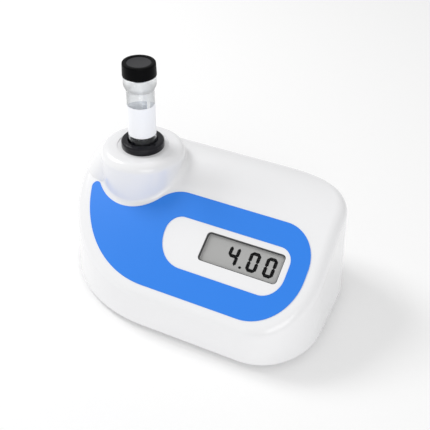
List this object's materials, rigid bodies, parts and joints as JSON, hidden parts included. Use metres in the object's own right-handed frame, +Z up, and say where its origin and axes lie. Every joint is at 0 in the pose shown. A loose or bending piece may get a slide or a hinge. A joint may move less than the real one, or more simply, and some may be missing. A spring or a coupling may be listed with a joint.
{
  "type": "densitometer",
  "caption": "Bench densitometer with a sloping display panel and a raised round well that holds a capped glass sample tube in a removable sleeve.",
  "frame": {"origin": "middle of the 165 by 110 mm footprint, on the surface that the feet stand on", "axes": "+X to the right of a person who reads the display, +Y to the back, +Z up along the sample tube"},
  "size_m": [0.165, 0.11, 0.1265],
  "materials": {
    "housing": "satin white moulding",
    "base": "fine matt",
    "foot": "matt",
    "screw": "satin",
    "film": "smooth printed film",
    "bezel": "fine matt",
    "lens": "clear",
    "lcd": "smooth",
    "pin": "bright",
    "board": "lacquered",
    "chip": "matt",
    "can": "satin",
    "header": "smooth",
    "block": "matt",
    "seat": "matt",
    "emitter": "clear tinted",
    "detector": "smooth",
    "adapter": "polished",
    "glass": "clear",
    "suspension": "cloudy liquid",
    "label": "smooth",
    "liner": "matt",
    "cap": "fine matt",
    "jack": "smooth",
    "contact": "bright",
    "nut": "bright",
    "switch": "matt",
    "rocker": "satin",
    "red_lead": "insulated lead",
    "grey_lead": "insulated lead"
  },
  "bodies": {
    "instrument": {"top_housing": "housing", "base_plate": "base", "rubber_feet": "foot", "base_screws": "screw", "front_film": "film", "display_bezel": "bezel", "display_lens": "lens", "lcd_glass": "lcd", "lcd_pins": "pin", "main_board": "board", "board_screws": "screw", "microcontroller": "chip", "capacitor": "can", "voltage_regulator": "chip", "crystal": "can", "board_headers": "header", "optical_block": "block", "block_screws": "screw", "tube_seat": "seat", "light_source": "emitter", "photodiode": "detector", "emitter_board": "board", "detector_board": "board", "sensor_screws": "screw", "power_jack": "jack", "jack_pin": "contact", "jack_nut": "nut", "jack_tabs": "contact", "switch_frame": "switch", "switch_tabs": "contact", "power_leads": "red_lead", "sensor_leads": "grey_lead"},
    "adapter": {"tube_adapter": "adapter"},
    "tube": {"sample_tube": "glass", "suspension": "suspension", "tube_label": "label"},
    "liner": {"cap_liner": "liner"},
    "cap": {"tube_cap": "cap"},
    "rocker": {"switch_rocker": "rocker"}
  },
  "joints": [
    {"name": "adapter_lift", "type": "slide", "parent": "instrument", "child": "adapter", "axis": [0, 0, 1], "range_m": [0, 0.045]},
    {"name": "tube_lift", "type": "slide", "parent": "adapter", "child": "tube", "axis": [0, 0, 1], "range_m": [0, 0.065]},
    {"name": "cap_rise", "type": "slide", "parent": "tube", "child": "liner", "axis": [0, 0, 1], "range_m": [0, 0.0052]},
    {"name": "cap_turn", "type": "hinge", "parent": "liner", "child": "cap", "pos_m": [-0.0444, 0.0132, 0.1235], "axis": [0, 0, 1], "range_deg": [0, 450]},
    {"name": "rocker_tilt", "type": "hinge", "parent": "instrument", "child": "rocker", "pos_m": [0.014, 0.0489, 0.022], "axis": [1, 0, 0], "range_deg": [-16, 0]}
  ],
  "couplings": [
    {"joint": "cap_rise", "follows": "cap_turn", "m_per_rad": 0.00063662}
  ]
}
